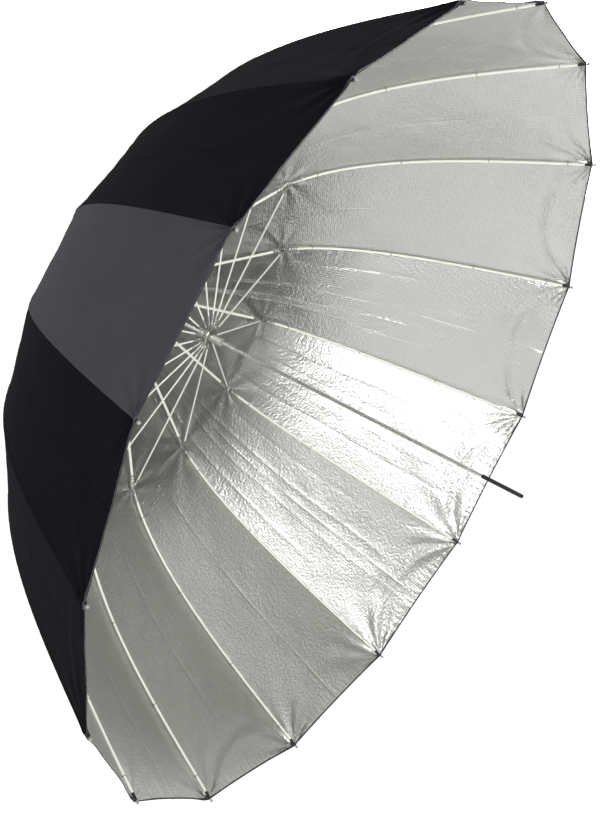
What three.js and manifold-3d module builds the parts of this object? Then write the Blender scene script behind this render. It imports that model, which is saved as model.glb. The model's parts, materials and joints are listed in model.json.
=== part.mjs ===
// A deep sixteen-rib studio umbrella reflector, standing open on a horizontal shaft.
// Millimetres. +Y runs along the shaft towards the crown, the mouth faces -Y and +Z is up.
// The origin is on the shaft's axis, in the middle of the stretch that a stand's holder clamps.

import * as THREE from 'three';
import { mergeVertices } from 'three/addons/utils/BufferGeometryUtils.js';
import Module from 'manifold-3d';

const wasm = await Module();
wasm.setup();

// Canopy and ribs
const RIB_COUNT = 16;
const TIP_RADIUS = 825;
const TIP_Y = 215;
const ELBOW_RADIUS = 432;
const ELBOW_Y = 721;
const OUTER_START_ANGLE = 62.2; // degrees from -Y, where the outer rib leaves the elbow
const OUTER_END_ANGLE = 28.8; // degrees from -Y, at the rim
const OUTER_START_PULL = 183;
const OUTER_END_PULL = 247;
const INNER_ROD_RADIUS = 2.75;
const OUTER_ROD_RADIUS = 2.0;
const STRETCHER_ROD_RADIUS = 1.6;
const ROD_SIDES = 6;
const EYE_STEPS = 3;
const OUTER_ROD_STEPS = 8;

// Linkage: both hubs carry their pivots on one radius, at equal distances from the elbows
const PIVOT_RADIUS = 14;
const HALF_SPREAD = 121;
const CROWN_PIVOT_Y = ELBOW_Y + HALF_SPREAD;
const RUNNER_PIVOT_Y = ELBOW_Y - HALF_SPREAD;

// Eyes and forks, measured from a pivot along the rod
const WIRE_RADIUS = 0.8;
const WIRE_HOLE_RADIUS = 1.4;
const EYE_RADIUS = 2.8;
const EYE_THICKNESS = 1.6;
const CROWN_BLADE_LENGTH = 23;
const RUNNER_BLADE_LENGTH = 14;
const BLADE_HALF_HEIGHT = 1.9;
const ROD_OVERLAP = 3;
const FORK_INNER = 2.6;
const FORK_OUTER = 4.0;
const FORK_EYE_RADIUS = 4.4;
const FORK_HALF_HEIGHT = 3.2;
const FORK_REACH = 18;
const SLEEVE_START = 14;
const SLEEVE_END = 32;
const SLEEVE_RADIUS = 4.3;
const ELBOW_PIN_RADIUS = 1.2;
const ELBOW_HOLE_RADIUS = 1.9;
const ELBOW_EYE_RADIUS = 3.4;
const ELBOW_EYE_NEAR = 0.3;
const ELBOW_EYE_THICKNESS = 1.9;
const OUTER_FERRULE_START = 12;
const OUTER_FERRULE_LENGTH = 18;
const OUTER_FERRULE_RADIUS = 2.9;
const STRETCHER_FERRULE_START = 17;
const STRETCHER_FERRULE_LENGTH = 14;
const STRETCHER_FERRULE_RADIUS = 2.4;
const TIP_CAP_LENGTH = 16;
const TIP_CAP_RADIUS = 3.0;
const TIP_BALL_RADIUS = 3.1;
const TIP_NECK_RADIUS = 1.8;

// Shaft and hubs
const SHAFT_RADIUS = 4;
const SHAFT_BORE = 3;
const SHAFT_TOP_Y = 858;
const SHAFT_BOTTOM_Y = -34;
const END_PLUG_Y = -121;
const END_FLAT_RADIUS = 2.2;
const END_ROUNDING = SHAFT_RADIUS - END_FLAT_RADIUS;
const SPIGOT_LENGTH = 20;
const GAP = 0.3;
const BEVEL = 1;
const HUB_RADIUS = 18;
const HUB_BORE = SHAFT_RADIUS + GAP;
const HUB_SLOT_INNER = 10.6;
const HUB_SLOT_WIDTH = 2.4;
const HUB_PLATE = 3.2; // pivot to the closed side of the slots
const HUB_BACK = 6; // pivot to the hub's closed face
const HUB_FRONT = 5; // pivot to the hub's open face
const CUT_PAST = 2; // how far a cut runs past the face that it opens
const GROOVE_HALF_WIDTH = 1.2;
const GROOVE_DEPTH_PAST_WIRE = 1.2;
const LATHE_STEPS = 24;
const SLIDING_GAP = 0.45;
const RUNNER_BORE = SHAFT_RADIUS + SLIDING_GAP;
const RUNNER_TUBE_RADIUS = 6.4;
const RUNNER_TUBE_END = 38;
const GRIP_START = 10;
const GRIP_END = 36;
const GRIP_RADIUS = 8.6;
const GRIP_WAIST = 7.8;
const GRIP_LIP = 0.6;
const GRIP_BEAD = 2;
const FABRIC_HOLE_RADIUS = 5.5;
const WASHER_RADIUS = 15;
const WASHER_BORE = SHAFT_RADIUS + SLIDING_GAP;
const WASHER_BOTTOM_Y = 852.2;
const WASHER_THICKNESS = 1.6;
const FINIAL_BOTTOM_Y = WASHER_BOTTOM_Y + WASHER_THICKNESS + GAP;
const FINIAL_HEIGHT = 20;
const FINIAL_RADIUS = 9;
const FINIAL_BORE_DEPTH = 6;
const FINIAL_SKIRT = 4;
const FINIAL_SHOULDER = 4;
const FINIAL_DOME_SHARE = 0.7;

// Catch and stop on the shaft, below and above the open runner
const CATCH_Y = 534;
const CATCH_LENGTH = 24;
const CATCH_RISE = 3.6;
const CATCH_THICKNESS = 1.4;
const CATCH_SLOT_WIDTH = 2.2;
const CATCH_BOTTOM = 1.1;
const CATCH_FOOT = 1; // how much taller the blade's foot is than the blade is thick
const CATCH_BEVEL = 1;
const CATCH_SWING_ROOM = 1.3; // the blade's nose moves up the slot as it is pressed in
const STOP_GAP = 0.5;
const STOP_Y = RUNNER_PIVOT_Y + HUB_FRONT + STOP_GAP;
const STOP_LENGTH = 5;
const STOP_RADIUS = 5.6;

// Fabric
const FABRIC_THICKNESS = 0.8;
const CROWN_FABRIC_Y = 850;
const CROWN_FLAT_RADIUS = 20;
const CROWN_SLOPE_ANGLE = 84; // degrees from -Y, where the fabric leaves the crown
const ARCH_START_PULL = 150;
const ARCH_END_PULL = 140;
const FABRIC_OFFSET_ELBOW = 6.8;
const FABRIC_OFFSET_TIP = 4.8;
const FABRIC_ROWS = 13;
const PROFILE_DIVISIONS = 400;
const PANEL_COLUMNS = 2;
const PANEL_SAG = 0.007; // share of the panel's width that its middle lies inside the chord
const HEM_HOLLOW = 0.003; // share of the panel's length that the hem's middle is cut back

const SILVER = { color: 0x9d9f9d, roughness: 0.38, metalness: 0.6 };
const STEEL = { color: 0xb4b6b8, roughness: 0.3, metalness: 0.9 };
const FIBREGLASS = { color: 0xdfe0d2, roughness: 0.45, metalness: 0 };
const BLACK_PLASTIC = { color: 0x17181a, roughness: 0.5, metalness: 0 };

const WELD = 1e-4; // vertices closer than this are one

const umbrella = new THREE.Group();

// Geometry helpers

function heading(degreesFromMinusY) {
  const angle = THREE.MathUtils.degToRad(degreesFromMinusY);
  return new THREE.Vector2(Math.sin(angle), -Math.cos(angle));
}

function outwardNormal(direction) {
  return new THREE.Vector2(-direction.y, direction.x);
}

function along(start, direction, distance) {
  return start.clone().addScaledVector(direction, distance);
}

function signedVolume(positions, triangles) {
  const [a, b, c] = [new THREE.Vector3(), new THREE.Vector3(), new THREE.Vector3()];
  let volume = 0;
  for (let i = 0; i < triangles.length; i += 3) {
    a.fromArray(positions, 3 * triangles[i]);
    b.fromArray(positions, 3 * triangles[i + 1]);
    c.fromArray(positions, 3 * triangles[i + 2]);
    volume += a.dot(b.cross(c)) / 6;
  }
  return volume;
}

// A closed geometry as a solid that can be joined and cut, with its faces pointing out.
function solidOf(geometry) {
  const bare = geometry.clone();
  bare.deleteAttribute('normal');
  bare.deleteAttribute('uv');
  const merged = mergeVertices(bare, WELD);
  const positions = Float32Array.from(merged.attributes.position.array);
  const kept = [];
  const index = merged.index.array;
  for (let i = 0; i < index.length; i += 3) {
    const [p, q, r] = [index[i], index[i + 1], index[i + 2]];
    if (p !== q && q !== r && r !== p) {
      kept.push(p, q, r);
    }
  }
  if (signedVolume(positions, kept) < 0) {
    kept.reverse();
  }
  const mesh = new wasm.Mesh({
    numProp: 3,
    vertProperties: positions,
    triVerts: Uint32Array.from(kept)
  });
  return new wasm.Manifold(mesh);
}

function geometryOf(solid) {
  const mesh = solid.getMesh();
  const geometry = new THREE.BufferGeometry();
  geometry.setAttribute('position', new THREE.BufferAttribute(mesh.vertProperties, 3));
  geometry.setIndex(new THREE.BufferAttribute(mesh.triVerts, 1));
  return geometry;
}

function joined(...geometries) {
  return geometries.map(solidOf).reduce((whole, piece) => whole.add(piece));
}

function addPart(name, solid, look, turn = 0) {
  const geometry = geometryOf(solid);
  geometry.computeVertexNormals();
  const mesh = new THREE.Mesh(geometry, new THREE.MeshStandardMaterial(look));
  mesh.name = name;
  mesh.rotation.y = -turn;
  umbrella.add(mesh);
}

function rodGeometry(radius, start, end) {
  const span = end.clone().sub(start);
  const rod = new THREE.CylinderGeometry(radius, radius, span.length(), ROD_SIDES);
  rod.rotateZ(span.angle() - Math.PI / 2);
  const middle = start.clone().add(end).multiplyScalar(0.5);
  rod.translate(middle.x, middle.y, 0);
  return rod;
}

// A flat bar with a round eye at the pivot, running from there along a direction.
function eyeGeometry({ pivot, direction, length, halfHeight, radius, hole, near, thickness }) {
  const corner = Math.asin(halfHeight / radius);
  const outline = new THREE.Shape();
  outline.moveTo(length, -halfHeight);
  outline.lineTo(length, halfHeight);
  outline.absarc(0, 0, radius, corner, 2 * Math.PI - corner, false);
  if (hole > 0) {
    const opening = new THREE.Path();
    opening.absarc(0, 0, hole, 0, 2 * Math.PI, false);
    outline.holes.push(opening);
  }
  const bar = new THREE.ExtrudeGeometry(outline, {
    depth: thickness,
    bevelEnabled: false,
    curveSegments: EYE_STEPS
  });
  bar.translate(0, 0, near);
  bar.rotateZ(direction.angle());
  bar.translate(pivot.x, pivot.y, 0);
  return bar;
}

// A round piece about the shaft's axis from [radius, y] points, closed on itself or on the axis.
function turned(points, steps = LATHE_STEPS) {
  const profile = points.map(([radius, y]) => new THREE.Vector2(radius, y));
  return new THREE.LatheGeometry(profile, steps);
}

function closedRing(points, steps = LATHE_STEPS) {
  return turned([...points, points[0]], steps);
}

// The linkage's points, in the plane of one rib: x is the radius and y the height

const crownPivot = new THREE.Vector2(PIVOT_RADIUS, CROWN_PIVOT_Y);
const runnerPivot = new THREE.Vector2(PIVOT_RADIUS, RUNNER_PIVOT_Y);
const elbow = new THREE.Vector2(ELBOW_RADIUS, ELBOW_Y);
const tip = new THREE.Vector2(TIP_RADIUS, TIP_Y);
const crownToElbow = elbow.clone().sub(crownPivot).normalize();
const elbowToCrown = crownToElbow.clone().negate();
const runnerToElbow = elbow.clone().sub(runnerPivot).normalize();
const elbowToRunner = runnerToElbow.clone().negate();
const outerStart = heading(OUTER_START_ANGLE);
const outerEnd = heading(OUTER_END_ANGLE);

// Inner rib: an eye on the crown's wire, a thick rod, and a fork with a pin at the elbow

function innerRib() {
  const eye = eyeGeometry({
    pivot: crownPivot,
    direction: crownToElbow,
    length: CROWN_BLADE_LENGTH,
    halfHeight: BLADE_HALF_HEIGHT,
    radius: EYE_RADIUS,
    hole: WIRE_HOLE_RADIUS,
    near: -EYE_THICKNESS / 2,
    thickness: EYE_THICKNESS
  });
  const rodStart = along(crownPivot, crownToElbow, CROWN_BLADE_LENGTH - ROD_OVERLAP);
  const rodEnd = along(elbow, elbowToCrown, SLEEVE_END - ROD_OVERLAP);
  const rod = rodGeometry(INNER_ROD_RADIUS, rodStart, rodEnd);
  const sleeveNear = along(elbow, elbowToCrown, SLEEVE_START);
  const sleeveFar = along(elbow, elbowToCrown, SLEEVE_END);
  const sleeve = rodGeometry(SLEEVE_RADIUS, sleeveFar, sleeveNear);
  const cheeks = [FORK_INNER, -FORK_OUTER].map((near) => eyeGeometry({
    pivot: elbow,
    direction: elbowToCrown,
    length: FORK_REACH,
    halfHeight: FORK_HALF_HEIGHT,
    radius: FORK_EYE_RADIUS,
    hole: 0,
    near,
    thickness: FORK_OUTER - FORK_INNER
  }));
  const pinLength = FORK_INNER + FORK_OUTER;
  const pin = new THREE.CylinderGeometry(ELBOW_PIN_RADIUS, ELBOW_PIN_RADIUS, pinLength, ROD_SIDES);
  pin.rotateX(Math.PI / 2);
  pin.translate(elbow.x, elbow.y, 0);
  return joined(eye, rod, sleeve, ...cheeks, pin);
}

// Outer rib: an eye and ferrule at the elbow, a thin curved rod, and a capped tip

function outerCurve() {
  const start = along(elbow, outerStart, OUTER_FERRULE_START);
  const pullStart = along(elbow, outerStart, OUTER_START_PULL);
  const pullEnd = along(tip, outerEnd, -OUTER_END_PULL);
  const corners = [start, pullStart, pullEnd, tip].map((p) => new THREE.Vector3(p.x, p.y, 0));
  return new THREE.CubicBezierCurve3(...corners);
}

function tipCap() {
  const neck = TIP_NECK_RADIUS;
  const ball = TIP_BALL_RADIUS;
  const centre = neck + ball;
  const cap = turned([
    [0, -TIP_CAP_LENGTH],
    [TIP_CAP_RADIUS, -TIP_CAP_LENGTH],
    [TIP_CAP_RADIUS, 0],
    [neck, neck / 2],
    [ball, centre],
    [0, centre + ball]
  ], ROD_SIDES);
  cap.rotateZ(outerEnd.angle() - Math.PI / 2);
  cap.translate(tip.x, tip.y, 0);
  return cap;
}

function outerRib() {
  const eye = eyeGeometry({
    pivot: elbow,
    direction: outerStart,
    length: OUTER_FERRULE_START + ROD_OVERLAP,
    halfHeight: BLADE_HALF_HEIGHT,
    radius: ELBOW_EYE_RADIUS,
    hole: ELBOW_HOLE_RADIUS,
    near: ELBOW_EYE_NEAR,
    thickness: ELBOW_EYE_THICKNESS
  });
  const ferruleNear = along(elbow, outerStart, OUTER_FERRULE_START);
  const ferruleFar = along(ferruleNear, outerStart, OUTER_FERRULE_LENGTH);
  const ferrule = rodGeometry(OUTER_FERRULE_RADIUS, ferruleNear, ferruleFar);
  const section = new THREE.Shape();
  section.absarc(0, 0, OUTER_ROD_RADIUS, 0, 2 * Math.PI, false);
  const rod = new THREE.ExtrudeGeometry(section, {
    steps: OUTER_ROD_STEPS,
    curveSegments: ROD_SIDES / 2,
    bevelEnabled: false,
    extrudePath: outerCurve()
  });
  return joined(eye, ferrule, rod, tipCap());
}

// Stretcher: a thin rod with a flat eye at the runner and another at the elbow

function stretcher() {
  const runnerEye = eyeGeometry({
    pivot: runnerPivot,
    direction: runnerToElbow,
    length: RUNNER_BLADE_LENGTH,
    halfHeight: BLADE_HALF_HEIGHT,
    radius: EYE_RADIUS,
    hole: WIRE_HOLE_RADIUS,
    near: -EYE_THICKNESS / 2,
    thickness: EYE_THICKNESS
  });
  const elbowEye = eyeGeometry({
    pivot: elbow,
    direction: elbowToRunner,
    length: STRETCHER_FERRULE_START + ROD_OVERLAP,
    halfHeight: BLADE_HALF_HEIGHT,
    radius: ELBOW_EYE_RADIUS,
    hole: ELBOW_HOLE_RADIUS,
    near: -ELBOW_EYE_NEAR - ELBOW_EYE_THICKNESS,
    thickness: ELBOW_EYE_THICKNESS
  });
  const rodStart = along(runnerPivot, runnerToElbow, RUNNER_BLADE_LENGTH - ROD_OVERLAP);
  const ferruleEnd = along(elbow, elbowToRunner, STRETCHER_FERRULE_START);
  const ferruleStart = along(ferruleEnd, elbowToRunner, STRETCHER_FERRULE_LENGTH);
  const rodEnd = along(ferruleStart, runnerToElbow, ROD_OVERLAP);
  const rod = rodGeometry(STRETCHER_ROD_RADIUS, rodStart, rodEnd);
  const ferrule = rodGeometry(STRETCHER_FERRULE_RADIUS, ferruleStart, ferruleEnd);
  return joined(runnerEye, elbowEye, rod, ferrule);
}

// Hubs: a slotted disc with a groove for the wire that threads the eyes

function radialSlots(low, high) {
  const reach = HUB_RADIUS + CUT_PAST - HUB_SLOT_INNER;
  const cuts = [];
  for (let i = 0; i < RIB_COUNT; i += 1) {
    const cut = new THREE.BoxGeometry(reach, high - low, HUB_SLOT_WIDTH);
    cut.translate(HUB_SLOT_INNER + reach / 2, (low + high) / 2, 0);
    cut.rotateY(-ribAngle(i));
    cuts.push(cut);
  }
  return joined(...cuts);
}

// facing is -1 where the slots open towards -Y and +1 where they open towards +Y.
function hub(blank, pivotY, facing) {
  const closed = pivotY - facing * HUB_PLATE;
  const open = pivotY + facing * (HUB_FRONT + CUT_PAST);
  const floor = pivotY - facing * GROOVE_DEPTH_PAST_WIRE;
  const groove = closedRing([
    [PIVOT_RADIUS - GROOVE_HALF_WIDTH, floor],
    [PIVOT_RADIUS + GROOVE_HALF_WIDTH, floor],
    [PIVOT_RADIUS + GROOVE_HALF_WIDTH, open],
    [PIVOT_RADIUS - GROOVE_HALF_WIDTH, open]
  ]);
  const slots = radialSlots(Math.min(closed, open), Math.max(closed, open));
  return solidOf(blank).subtract(solidOf(groove)).subtract(slots);
}

function crownNotch() {
  const top = CROWN_PIVOT_Y + HUB_BACK;
  const bottom = CROWN_PIVOT_Y - HUB_FRONT;
  const blank = closedRing([
    [HUB_BORE, bottom],
    [HUB_RADIUS, bottom],
    [HUB_RADIUS, top - BEVEL],
    [HUB_RADIUS - BEVEL, top],
    [HUB_BORE, top]
  ]);
  return hub(blank, CROWN_PIVOT_Y, -1);
}

function runner() {
  const top = RUNNER_PIVOT_Y + HUB_FRONT;
  const flange = RUNNER_PIVOT_Y - HUB_BACK;
  const bottom = RUNNER_PIVOT_Y - RUNNER_TUBE_END;
  const blank = closedRing([
    [RUNNER_BORE, bottom],
    [RUNNER_TUBE_RADIUS, bottom],
    [RUNNER_TUBE_RADIUS, flange],
    [HUB_RADIUS - BEVEL, flange],
    [HUB_RADIUS, flange + BEVEL],
    [HUB_RADIUS, top],
    [RUNNER_BORE, top]
  ]);
  return hub(blank, RUNNER_PIVOT_Y, 1);
}

function hubWire(pivotY) {
  const wire = new THREE.TorusGeometry(PIVOT_RADIUS, WIRE_RADIUS, 6, LATHE_STEPS);
  wire.rotateX(Math.PI / 2);
  wire.translate(0, pivotY, 0);
  return solidOf(wire);
}

function runnerGrip() {
  const top = RUNNER_PIVOT_Y - GRIP_START;
  const bottom = RUNNER_PIVOT_Y - GRIP_END;
  const middle = (top + bottom) / 2;
  const bore = RUNNER_TUBE_RADIUS + GAP;
  return solidOf(closedRing([
    [bore, bottom],
    [GRIP_RADIUS - GRIP_LIP, bottom],
    [GRIP_RADIUS, bottom + GRIP_BEAD],
    [GRIP_WAIST, middle],
    [GRIP_RADIUS, top - GRIP_BEAD],
    [GRIP_RADIUS - GRIP_LIP, top],
    [bore, top]
  ]));
}

// Shaft: a steel tube with a slot for the catch, plugged at its lower end

function catchSlot() {
  const low = CATCH_Y - GAP;
  const high = CATCH_Y + CATCH_LENGTH + CATCH_SWING_ROOM;
  const slot = new THREE.BoxGeometry(CATCH_SLOT_WIDTH, high - low, 2 * SHAFT_RADIUS);
  slot.translate(0, (low + high) / 2, SHAFT_RADIUS + CATCH_BOTTOM - GAP);
  return solidOf(slot);
}

function shaft() {
  const tube = closedRing([
    [SHAFT_BORE, SHAFT_BOTTOM_Y],
    [SHAFT_RADIUS, SHAFT_BOTTOM_Y],
    [SHAFT_RADIUS, SHAFT_TOP_Y],
    [SHAFT_BORE, SHAFT_TOP_Y]
  ]);
  return solidOf(tube).subtract(catchSlot());
}

function shaftEndPlug() {
  const shoulder = SHAFT_BOTTOM_Y - GAP;
  return solidOf(turned([
    [0, END_PLUG_Y],
    [END_FLAT_RADIUS, END_PLUG_Y],
    [SHAFT_RADIUS - END_ROUNDING / 4, END_PLUG_Y + END_ROUNDING / 2],
    [SHAFT_RADIUS, END_PLUG_Y + 2 * END_ROUNDING],
    [SHAFT_RADIUS, shoulder],
    [SHAFT_BORE - GAP, shoulder],
    [SHAFT_BORE - GAP, shoulder + SPIGOT_LENGTH],
    [0, shoulder + SPIGOT_LENGTH]
  ]));
}

// A bent spring-steel blade that pivots at its lower end and holds the open runner.
function catchBlade() {
  const top = SHAFT_RADIUS + CATCH_RISE;
  const outline = new THREE.Shape();
  outline.moveTo(CATCH_BOTTOM, 0);
  outline.lineTo(CATCH_BOTTOM + CATCH_THICKNESS + CATCH_FOOT, 0);
  outline.lineTo(top, CATCH_LENGTH - CATCH_BEVEL);
  outline.lineTo(top - CATCH_BEVEL, CATCH_LENGTH);
  outline.lineTo(CATCH_BOTTOM, CATCH_LENGTH);
  const blade = new THREE.ExtrudeGeometry(outline, { depth: CATCH_THICKNESS, bevelEnabled: false });
  blade.translate(0, CATCH_Y, -CATCH_THICKNESS / 2);
  blade.rotateY(-Math.PI / 2);
  return solidOf(blade);
}

function stopCollar() {
  return solidOf(closedRing([
    [HUB_BORE, STOP_Y],
    [STOP_RADIUS, STOP_Y],
    [STOP_RADIUS, STOP_Y + STOP_LENGTH],
    [HUB_BORE, STOP_Y + STOP_LENGTH]
  ]));
}

function crownWasher() {
  const top = WASHER_BOTTOM_Y + WASHER_THICKNESS;
  return solidOf(closedRing([
    [WASHER_BORE, WASHER_BOTTOM_Y],
    [WASHER_RADIUS, WASHER_BOTTOM_Y],
    [WASHER_RADIUS - BEVEL, top],
    [WASHER_BORE, top]
  ]));
}

function finial() {
  const roof = FINIAL_BOTTOM_Y + FINIAL_BORE_DEPTH;
  const top = FINIAL_BOTTOM_Y + FINIAL_HEIGHT;
  const dome = FINIAL_RADIUS * FINIAL_DOME_SHARE;
  return solidOf(turned([
    [0, roof],
    [SHAFT_RADIUS + GAP, roof],
    [SHAFT_RADIUS + GAP, FINIAL_BOTTOM_Y],
    [FINIAL_RADIUS, FINIAL_BOTTOM_Y],
    [FINIAL_RADIUS, FINIAL_BOTTOM_Y + FINIAL_SKIRT],
    [dome, top - FINIAL_SHOULDER],
    [dome / 2, top - BEVEL],
    [0, top]
  ]));
}

// Canopy: a thin shell stretched over the ribs, open at the mouth

function fabricProfile() {
  const path = new THREE.CurvePath();
  const hole = new THREE.Vector2(FABRIC_HOLE_RADIUS, CROWN_FABRIC_Y);
  const shoulder = new THREE.Vector2(CROWN_FLAT_RADIUS, CROWN_FABRIC_Y);
  const atElbow = along(elbow, outwardNormal(outerStart), FABRIC_OFFSET_ELBOW);
  const atTip = along(tip, outwardNormal(outerEnd), FABRIC_OFFSET_TIP);
  path.add(new THREE.LineCurve(hole, shoulder));
  path.add(new THREE.CubicBezierCurve(
    shoulder,
    along(shoulder, heading(CROWN_SLOPE_ANGLE), ARCH_START_PULL),
    along(atElbow, outerStart, -ARCH_END_PULL),
    atElbow
  ));
  path.add(new THREE.CubicBezierCurve(
    atElbow,
    along(atElbow, outerStart, OUTER_START_PULL),
    along(atTip, outerEnd, -OUTER_END_PULL),
    atTip
  ));
  return path;
}

function fabricPoint(profile, column, row, side) {
  const rib = Math.floor(column / PANEL_COLUMNS);
  const share = (column % PANEL_COLUMNS) / PANEL_COLUMNS;
  const belly = 4 * share * (1 - share);
  const station = (row / FABRIC_ROWS) * (1 - HEM_HOLLOW * belly * (row / FABRIC_ROWS));
  const point = profile.getPointAt(station);
  const normal = outwardNormal(profile.getTangentAt(station));
  point.addScaledVector(normal, side * FABRIC_THICKNESS / 2);
  const [a, b] = [ribAngle(rib), ribAngle(rib + 1)];
  const chord = 2 * point.x * Math.sin(Math.PI / RIB_COUNT);
  const x = point.x * THREE.MathUtils.lerp(Math.cos(a), Math.cos(b), share);
  const z = point.x * THREE.MathUtils.lerp(Math.sin(a), Math.sin(b), share);
  const pulled = 1 - PANEL_SAG * belly * chord / Math.hypot(x, z);
  return [x * pulled, point.y, z * pulled];
}

function canopy() {
  const profile = fabricProfile();
  profile.arcLengthDivisions = PROFILE_DIVISIONS;
  const columns = RIB_COUNT * PANEL_COLUMNS;
  const rows = FABRIC_ROWS + 1;
  const positions = [];
  for (const side of [1, -1]) {
    for (let row = 0; row < rows; row += 1) {
      for (let column = 0; column < columns; column += 1) {
        positions.push(...fabricPoint(profile, column, row, side));
      }
    }
  }
  const layer = rows * columns;
  const at = (side, row, column) => side * layer + row * columns + (column % columns);
  const index = [];
  const quad = (a, b, c, d) => index.push(a, b, c, a, c, d);
  for (let column = 0; column < columns; column += 1) {
    const next = column + 1;
    for (let row = 0; row < FABRIC_ROWS; row += 1) {
      quad(at(0, row, column), at(0, row, next), at(0, row + 1, next), at(0, row + 1, column));
      quad(at(1, row, next), at(1, row, column), at(1, row + 1, column), at(1, row + 1, next));
    }
    const last = FABRIC_ROWS;
    quad(at(0, last, column), at(0, last, next), at(1, last, next), at(1, last, column));
    quad(at(0, 0, next), at(0, 0, column), at(1, 0, column), at(1, 0, next));
  }
  const geometry = new THREE.BufferGeometry();
  geometry.setAttribute('position', new THREE.Float32BufferAttribute(positions, 3));
  geometry.setIndex(index);
  return solidOf(geometry);
}

// Assembly: rib 01 stands straight up and the others follow clockwise, seen from the mouth

function ribAngle(number) {
  return Math.PI / 2 - (2 * Math.PI * number) / RIB_COUNT;
}

function numbered(name, index) {
  return `${name}_${String(index + 1).padStart(2, '0')}`;
}

const [innerRibSolid, outerRibSolid, stretcherSolid] = [innerRib(), outerRib(), stretcher()];
for (let i = 0; i < RIB_COUNT; i += 1) {
  addPart(numbered('rib_inner', i), innerRibSolid, FIBREGLASS, ribAngle(i));
  addPart(numbered('rib_outer', i), outerRibSolid, FIBREGLASS, ribAngle(i));
  addPart(numbered('stretcher', i), stretcherSolid, FIBREGLASS, ribAngle(i));
}
addPart('crown_notch', crownNotch(), BLACK_PLASTIC);
addPart('crown_wire', hubWire(CROWN_PIVOT_Y), STEEL);
addPart('runner', runner(), STEEL);
addPart('runner_wire', hubWire(RUNNER_PIVOT_Y), STEEL);
addPart('runner_grip', runnerGrip(), STEEL);
addPart('shaft', shaft(), STEEL);
addPart('shaft_end_plug', shaftEndPlug(), BLACK_PLASTIC);
addPart('catch_blade', catchBlade(), STEEL);
addPart('stop_collar', stopCollar(), STEEL);
addPart('crown_washer', crownWasher(), BLACK_PLASTIC);
addPart('finial', finial(), BLACK_PLASTIC);
addPart('canopy', canopy(), SILVER);

export default umbrella;
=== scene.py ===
"""A deep studio umbrella reflector, silver inside and black outside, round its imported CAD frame."""

import json
import math

import bmesh
import bpy
import numpy as np
from mathutils import Matrix, Vector


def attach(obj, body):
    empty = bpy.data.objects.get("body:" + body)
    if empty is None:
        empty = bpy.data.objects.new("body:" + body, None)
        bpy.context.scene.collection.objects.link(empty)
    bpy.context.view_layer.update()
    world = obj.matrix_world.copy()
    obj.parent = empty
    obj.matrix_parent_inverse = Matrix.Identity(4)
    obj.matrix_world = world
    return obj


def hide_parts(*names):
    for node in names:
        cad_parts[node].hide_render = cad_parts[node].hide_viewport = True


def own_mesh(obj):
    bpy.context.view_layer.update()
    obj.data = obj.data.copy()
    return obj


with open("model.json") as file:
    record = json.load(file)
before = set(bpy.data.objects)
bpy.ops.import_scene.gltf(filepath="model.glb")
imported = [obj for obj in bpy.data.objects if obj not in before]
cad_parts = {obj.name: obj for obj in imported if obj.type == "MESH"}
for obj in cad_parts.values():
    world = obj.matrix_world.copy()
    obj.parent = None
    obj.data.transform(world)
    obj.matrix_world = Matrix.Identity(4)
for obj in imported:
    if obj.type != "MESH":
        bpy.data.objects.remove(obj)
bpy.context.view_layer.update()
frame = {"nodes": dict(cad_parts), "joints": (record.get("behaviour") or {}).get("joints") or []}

# Driving dimensions, in metres. x is the distance from the shaft and y runs along it.
JOINTS = {j["name"]: j for j in frame["joints"]}
RIBS = sum(name.startswith("elbow_") for name in JOINTS)
GORE_ANGLE = 2 * math.pi / RIBS
ELBOW = np.array([JOINTS["elbow_01"]["pos_m"][2], JOINTS["elbow_01"]["pos_m"][1]])
CROWN_PIVOT = np.array([JOINTS["fold"]["pos_m"][2], JOINTS["fold"]["pos_m"][1]])
RUNNER_PIVOT = np.array([JOINTS["runner_hinge"]["pos_m"][2], JOINTS["runner_hinge"]["pos_m"][1]])
TIP = np.array([0.825, 0.215])
OUTER_START_ANGLE = 62.2
OUTER_END_ANGLE = 28.8
OUTER_START_PULL = 0.183
OUTER_END_PULL = 0.247

# Radii of rods, and of the thin eyes at the hubs and at the elbow
INNER_ROD = 0.00275
OUTER_ROD = 0.0025
STRETCHER_ROD = 0.0016
HUB_EYE = 0.0028
HUB_EYE_HOLE = 0.0014
ELBOW_EYE = 0.0034
ELBOW_EYE_HOLE = 0.0015
# Where flat metal lies on each side of the rib's plane, as (low, high)
HUB_LEAF = (-0.0008, 0.0008)
STRETCHER_LEAF = (-0.0022, -0.0003)
OUTER_LEAF = (0.0003, 0.0022)
STRETCHER_TANG = (-0.0019, -0.0003)
OUTER_TANG = (0.0003, 0.0019)
CHEEKS = ((0.0026, 0.0040), (-0.0040, -0.0026))
CHEEK_RADIUS = 0.0044
TANG_HALF_HEIGHT = 0.0019
# Tip of the outer rib, and the thread that ties the rib to the seam
CAP_RADIUS = 0.0030
BALL_RADIUS = 0.0031
BALL_CENTRE = 0.0043
TIES = (0.055, 0.235, 0.42, 0.585)
THREAD_RADIUS = 0.00022
THREAD_PITCH = 0.0009

# Camera, fitted to the photograph
LENS = 84.03
CAMERA_PLACE = (-3.2444, -1.1423, 0.6522)
CAMERA_FORWARD = (0.89094, 0.41225, -0.19048)
CAMERA_UP = (0.0, 0.41945, 0.90778)

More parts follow.
